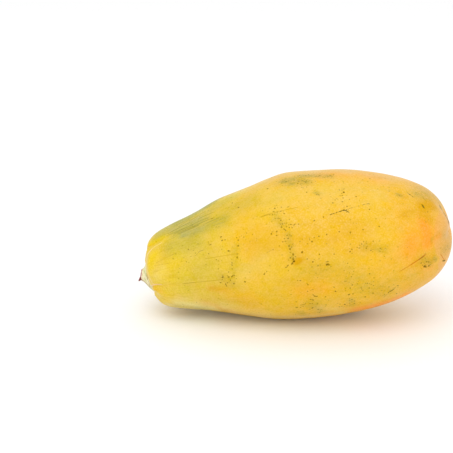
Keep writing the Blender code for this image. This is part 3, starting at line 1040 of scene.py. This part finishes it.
def orange_peel(tree, read, noise, place, worn):
    """Pores 0.8 mm apart, a faint orange peel, dry streaks on the neck and sunken scratches."""
    pores = add(tree, "TexVoronoi", {"Vector": place, "Scale": 1 / (0.8 * MM)})
    dry = add(tree, "Math", {0: noise["streaks"], 1: read["neck"]}, operation="MULTIPLY")
    height = noise["fine"]
    for layer, weight in ((noise["mottle"], 2.0), (pores, 0.35), (dry, 1.2), (worn, -0.8)):
        height = add(tree, "Math", {0: layer, 1: weight, 2: height}, operation="MULTIPLY_ADD")
    return add(tree, "Bump", {"Height": height, "Strength": 0.4, "Distance": 0.15 * MM})


def ripe_papaya_skin():
    """Ripe papaya skin, grown: thin, smooth and waxy, lemon at the neck and orange at the blossom
    end, with a green flush, olive casts, brown specks and scratches. The wax gives the eye a broad
    soft gloss and a pale edge where it is seen at a slant. Painted into its colour too are a paler
    underside lit from below, a pale sheen along the top edge, a highlight, and shade in the creases."""
    material, tree, shader = new_material("ripe_papaya_skin")
    place = add(tree, "TexCoord").outputs["Object"]
    read, noise = skin_readings(tree), skin_noises(tree, place)
    skin = ripening(tree, read, noise)
    for coats in (blotch_coats, cast_coats, striae_coats):
        skin = coated(tree, skin, coats(tree, read, noise))
    skin = grained(tree, skin, noise)
    blemishes = [
        *mark_coats(tree, read, noise),
        placed_speck_coat(tree, read, noise),
        *swarm_coats(tree, read, place),
    ]
    skin = coated(tree, skin, blemishes)
    worn = 0.0
    for _, amount in blemishes:
        worn = add(tree, "Math", {0: worn, 1: amount}, operation="MAXIMUM")
    corky = cork_coats(tree, read, noise)
    skin = coated(tree, skin, corky)
    rough, wax = wax_gloss(tree, read, noise, worn, cork=corky[-1][1])
    bump = orange_peel(tree, read, noise, place, worn)
    gloss = {"Roughness": rough, "IOR": 1.37, "Specular IOR Level": wax}
    give(tree, shader, {"Base Color": skin, "Normal": bump, **gloss})
    return material


def fleshy_stalk():
    """The stalk of a papaya, grown: fleshy and fibrous, cream and pale green, scuffed brown below,
    with a pink rim where it was cut. Matte, because its skin is dry."""
    material, tree, shader = new_material("fleshy_stalk")
    place = add(tree, "TexCoord").outputs["Object"]
    growth = add(tree, "Attribute", attribute_name="growth").outputs["Vector"]
    up = add(tree, "Attribute", attribute_name="up_the_stub").outputs["Fac"]
    under = add(tree, "Attribute", attribute_name="underside").outputs["Fac"]
    drawn_out = add(tree, "Mapping", {0: growth, 3: (0.15, 1.0, 1.0)})
    # Mottling of 3.5 mm, a grain of 0.9 mm, and fibres 0.7 mm apart that run up the stub.
    mottle, fine, fibres = (
        add(tree, "TexNoise", {"Vector": where, "Scale": 1 / (size_mm * MM), "Detail": 3.0})
        for where, size_mm in ((place, 3.5), (place, 0.9), (drawn_out, 0.7))
    )
    dark = broken(tree, fibres, mottle, 0.3, 0.60, 0.72)
    # A dry scar runs round the stub a third of the way up.
    scar = add(tree, "Math", {0: up, 1: 0.34}, operation="SUBTRACT")
    scar = add(tree, "Math", {0: scar}, operation="ABSOLUTE")
    scar = add(tree, "Math", {0: 0.055, 1: scar}, operation="SUBTRACT")
    scuff = broken(tree, under, mottle, 0.9, 0.45, 0.85)
    above_foot = add(tree, "MapRange", {0: up, 1: 0.3, 2: 0.5, 4: 0.8})
    blot, _ = specks(tree, place, 3.4, 0.9, 0.30, softness=0.6)
    coats = [
        ("#CBCB8C", broken(tree, mottle, fine, 0.3, 0.40, 0.66)),
        ("#C3B56C", broken(tree, fibres, mottle, 0.2, 0.52, 0.70)),
        ("#8A8440", add(tree, "Math", {0: dark, 1: 0.5}, operation="MULTIPLY")),
        ("#D79AA0", broken(tree, up, mottle, 0.25, 0.90, 1.0)),
        ("#B59A66", broken(tree, scar, mottle, 0.26, 0.0, 0.06)),
        ("#E4D694", add(tree, "MapRange", {0: up, 1: 0.25, 2: 0.0})),
        ("#A9824E", add(tree, "Math", {0: scuff, 1: above_foot}, operation="MULTIPLY")),
        ("#8C8A36", blot),
    ]
    skin = coated(tree, colour("#E6DDB4"), coats)
    height = add(tree, "Math", {0: fibres, 1: 1.5, 2: fine}, operation="MULTIPLY_ADD")
    bump = add(tree, "Bump", {"Height": height, "Strength": 0.6, "Distance": 0.3 * MM})
    give(tree, shader, {"Base Color": skin, "Normal": bump, "Roughness": 0.62, "IOR": 1.40})
    return material


def dried_cut():
    """The dried skin over the cut, shrunk and darkened by air: maroon and brown, mottled at 1.6 mm
    with a grain of 0.5 mm, and paler and fibrous in the middle. Matte."""
    material, tree, shader = new_material("dried_cut")
    place = add(tree, "TexCoord").outputs["Object"]
    to_edge = add(tree, "Attribute", attribute_name="to_edge").outputs["Fac"]
    mottle = add(tree, "TexNoise", {"Vector": place, "Scale": 1 / (1.6 * MM), "Detail": 4.0})
    fine = add(tree, "TexNoise", {"Vector": place, "Scale": 1 / (0.5 * MM), "Detail": 3.0})
    coats = [
        ("#642A2A", broken(tree, mottle, fine, 0.3, 0.42, 0.62)),
        ("#B9855F", broken(tree, fine, mottle, 0.3, 0.56, 0.72)),
        ("#B08F63", add(tree, "MapRange", {0: to_edge, 1: 0.75, 2: 0.35, 4: 0.7})),
    ]
    skin = coated(tree, colour("#9A4442"), coats)
    height = add(tree, "Math", {0: mottle, 1: 2.0, 2: fine}, operation="MULTIPLY_ADD")
    bump = add(tree, "Bump", {"Height": height, "Strength": 0.8, "Distance": 0.4 * MM})
    give(tree, shader, {"Base Color": skin, "Normal": bump, "Roughness": 0.75, "IOR": 1.45})
    return material


def matt_white_card():
    """White card, pressed and uncoated: matt and almost even, with a tooth of 4 mm."""
    material, tree, shader = new_material("matt_white_card")
    place = add(tree, "TexCoord").outputs["Object"]
    tooth = add(tree, "TexNoise", {"Vector": place, "Scale": 1 / (4 * MM)})
    pale = add(tree, "MapRange", {0: tooth, 1: 0.3, 2: 0.7, 3: 0.925, 4: 0.935})
    give(tree, shader, {"Base Color": pale, "Roughness": 0.9, "Specular IOR Level": 0.2})
    return material


def settled(points):
    """The points with the belly eased into the flat that it rests on. Heights above the softness
    stay, those below it sink ever more slowly, and the lowest, the flat's depth under 0, come to 0."""
    height = points[..., 2]
    sunk = FLAT_SOFTNESS * np.exp(np.minimum(height / FLAT_SOFTNESS - 1, 0))
    eased = np.where(height < FLAT_SOFTNESS, sunk, height)
    cut_off = FLAT_SOFTNESS * math.exp(-1 - FLAT_DEPTH / FLAT_SOFTNESS)
    return np.dstack([points[..., :2], np.maximum(eased - cut_off, 0)])


def cork_and_basin(along, radius, turn):
    """How corky each point is, along the rim and beside the grooves, and how much it is in the
    basin. Where the cork of the rim is worn away, the basin's edge is lost too."""
    at_stem = along < FRUIT_LENGTH / 2
    worn_away = bell(angle_between(turn, RIM_GAP), RIM_GAP_WIDTH)
    rim = at_stem * (CORK_RIM_MOST - np.abs(radius - CORK_RIM) / CORK_RIM_WIDTH) - worn_away
    to_cork = groove_distance(unveered(along, turn), radius, CORK_OFFSET)
    past_edge = np.maximum(along - CORK_EDGE_LENGTH, 0) / CORK_EDGE_FADE
    edge = 1 - to_cork / CORK_EDGE_WIDTH - past_edge
    basin = at_stem * smooth_step((RIM_RADIUS - radius) / BASIN_EDGE)
    return np.maximum(rim, edge), basin * (1 - worn_away)


def make_fruit():
    """The fruit's skin, with its colours and marks kept as numbers on its points."""
    along, radius, turn, points = fruit_skin()
    points = settled(points + SHIFT)
    to_groove = groove_distance(unveered(along, turn), radius)
    stem_fade = np.exp(-np.maximum(along, 0) / CREASE_SHADE_FADE)
    sway = waves(straightened(along, radius, turn), 90 * MM, seed=12)
    from_speck, speck_size = placed_specks(along, radius, turn)
    cork, basin = cork_and_basin(along, radius, turn)
    cap = [1 - run_distance(points, on_skin(*a), on_skin(*b)) / (reach * MM) for a, b, reach in CAP]
    values = {
        "growth": straightened(along, GROWTH_RADIUS, turn),
        "ripeness": along / FRUIT_LENGTH + 0.03 * sway,
        "blossom_cap": np.max(cap, axis=0),
        "from_speck": from_speck,
        "speck_size": speck_size,
        "cork": cork,
        "basin": basin,
        # Painted shade in the creases near the stem end, read by the material as a deeper yellow.
        "crease": bell(to_groove, CREASE_SHADE_WIDTH) * stem_fade,
        "neck": smooth_step((NECK_END - along) / NECK_FADE),
    }
    values |= {key: cast(points, runs) for key, runs in CASTS.items()}
    swarms = cast(points, scattered_swarms(26, seed=11))
    values["speck_swarm"] = np.maximum(values["speck_swarm"], swarms)
    values |= {key: thin_marks(points, runs) for key, runs in MARKS.items()}
    return closed_skin("papaya_skin", points, values, ripe_papaya_skin())


def up_the_stub(along):
    """0 at the stub's foot and 1 at its cut."""
    return np.clip((STUB_FOOT - along) / (STUB_FOOT - STUB_CUT), 0, 1)


def slanted(along, radius, turn):
    """Points on the stub or on its dried skin, sheared more and more to the slant of the cut."""
    up = up_the_stub(along)
    shear = math.tan(CUT_SLANT) * up**2 * radius * np.sin(turn)
    return as_it_lies(along + shear, radius, turn, BASIN_DROP - STUB_RISE * up) + SHIFT


def make_stub():
    """The stub: its outline with five soft ribs, fine wrinkles that run up it and small dents. Its
    foot spreads further out into each groove between two lobes, and sinks further in there."""
    along, radius, turn = outline_grid(STUB_MM, STUB_GRID)
    up = up_the_stub(along)
    side = smooth_step(radius / STUB_SIDE_FROM)
    toward_groove = np.cos(5 * (turn - GROOVE_TURNS[0]))
    in_groove = np.maximum(toward_groove, 0) ** 2 * (1 - up) ** 3
    # Wrinkles and dents are drawn out 24 times along the stub.
    drawn_up = straightened(0.042 * along, 7.2 * MM, turn)
    wrinkles = 0.16 * MM * waves(drawn_up, 1.6 * MM, seed=21)
    dents = 0.22 * MM * waves(drawn_up, 5 * MM, seed=22)
    ribs = RIB_HEIGHT * toward_groove + FOOT_SPREAD * in_groove
    out = radius + (ribs + wrinkles + dents) * side
    out[[0, -1]] = 0
    points = slanted(along + FOOT_SINK * in_groove * side, out, turn)
    values = {
        "growth": straightened(0.15 * along, 9 * MM, turn),
        "up_the_stub": up,
        "underside": np.clip(-np.sin(turn), 0, 1),
    }
    return closed_skin("stem_stub", points, values, fleshy_stalk())


def make_dried_skin():
    """The dried skin: a thin crumpled dish over the cut. Radial folds deepen towards its edge, and
    below, its edge is thicker and drawn out into a lip that curls away from the stub."""
    outward, radius, turn = outline_grid(DRIED_MM, DRIED_GRID)
    to_edge = np.clip(radius / DRIED_RADIUS, 0, 1)
    lip = np.clip((radius - LIP_FROM) / LIP_RISE, 0, 1)
    lip = lip * bell(angle_between(turn, LIP_TURN), LIP_WIDTH)
    # Folds change round the edge, and hardly at all between the middle and the edge.
    place = straightened(0.08 * radius, 4.8 * MM, turn)
    folds = 0.22 * MM * waves(place, 2.2 * MM, seed=31) * to_edge**2
    crumple = 0.12 * MM * waves(place, 0.9 * MM, seed=32) * to_edge
    curl = LIP_CURL * lip * (1 + 0.25 * waves(place, 3 * MM, seed=33))
    rim = radius * (1 + 0.05 * waves(place, 2.5 * MM, seed=34) * to_edge) + LIP_REACH * lip
    rim[[0, -1]] = 0
    along = STUB_CUT + outward * (1 + 3 * lip) - curl - folds - crumple
    along[[0, -1]] = along[[0, -1]].mean(axis=1, keepdims=True)
    points = slanted(along, rim, turn)
    return closed_skin("dried_skin", points, {"to_edge": to_edge}, dried_cut())


def studio_floor():
    """A plain pale floor, a disc 8 m across just under the fruit."""
    turn = np.linspace(0, 2 * math.pi, 96, endpoint=False)
    ring = np.column_stack([4 * np.cos(turn), 4 * np.sin(turn), np.full(96, -0.1 * MM)])
    mesh = bpy.data.meshes.new("floor")
    mesh.from_pydata(ring.tolist(), [], [list(range(96))])
    mesh.materials.append(matt_white_card())
    new_object("floor", mesh)


def soft_box(name, place, size, watts, aim):
    """A square studio light that shines from place towards aim."""
    light = bpy.data.lights.new(name, "AREA")
    light.size = size
    light.energy = watts
    lamp = new_object(name, light)
    lamp.location = place
    lamp.rotation_euler = (aim - place).to_track_quat("-Z", "Y").to_euler()


def studio(middle):
    """A white room that lights from all round, a large soft box above and one in front, low down."""
    world = bpy.data.worlds.new("white_room")
    world.use_nodes = True
    background = world.node_tree.nodes["Background"]
    give(world.node_tree, background, {"Color": (1, 1, 1, 1), "Strength": 1.05})
    bpy.context.scene.world = world
    soft_box("soft_box_above", middle + Vector((-0.3, -0.9, 1.5)), 1.4, 7, middle)
    soft_box("soft_box_in_front", middle + Vector((0.2, -1.9, 0.2)), 1.2, 4, middle)
    bpy.context.scene.view_settings.view_transform = "Standard"


def camera(middle):
    """A long lens 1 m away, a little to the right of square on and 18 degrees up, aimed to the left
    of the fruit's middle, so that the fruit stands right of centre."""
    turn, rise, distance = math.radians(2), math.radians(18), 1.0
    level = math.cos(rise)
    back = Vector((math.sin(turn) * level, -math.cos(turn) * level, math.sin(rise)))
    lens = bpy.data.cameras.new("camera")
    lens.lens = 92.9
    lens.sensor_width = 36
    shot = new_object("camera", lens)
    shot.location = middle + Vector((-61 * MM, 0, 14.1 * MM)) + back * distance
    shot.rotation_euler = (-back).to_track_quat("-Z", "Y").to_euler()
    bpy.context.scene.camera = shot


SHIFT = shift_to_cad()
for piece, node, slot in (
    (make_fruit(), "fruit", "ripe_skin"),
    (make_stub(), "stem", "pale_stalk"),
    (make_dried_skin(), "dried_tip", "dried_stalk"),
):
    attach(piece, "root")
    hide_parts(node)

low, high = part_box("fruit")
studio_floor()
studio((low + high) / 2)
camera((low + high) / 2)
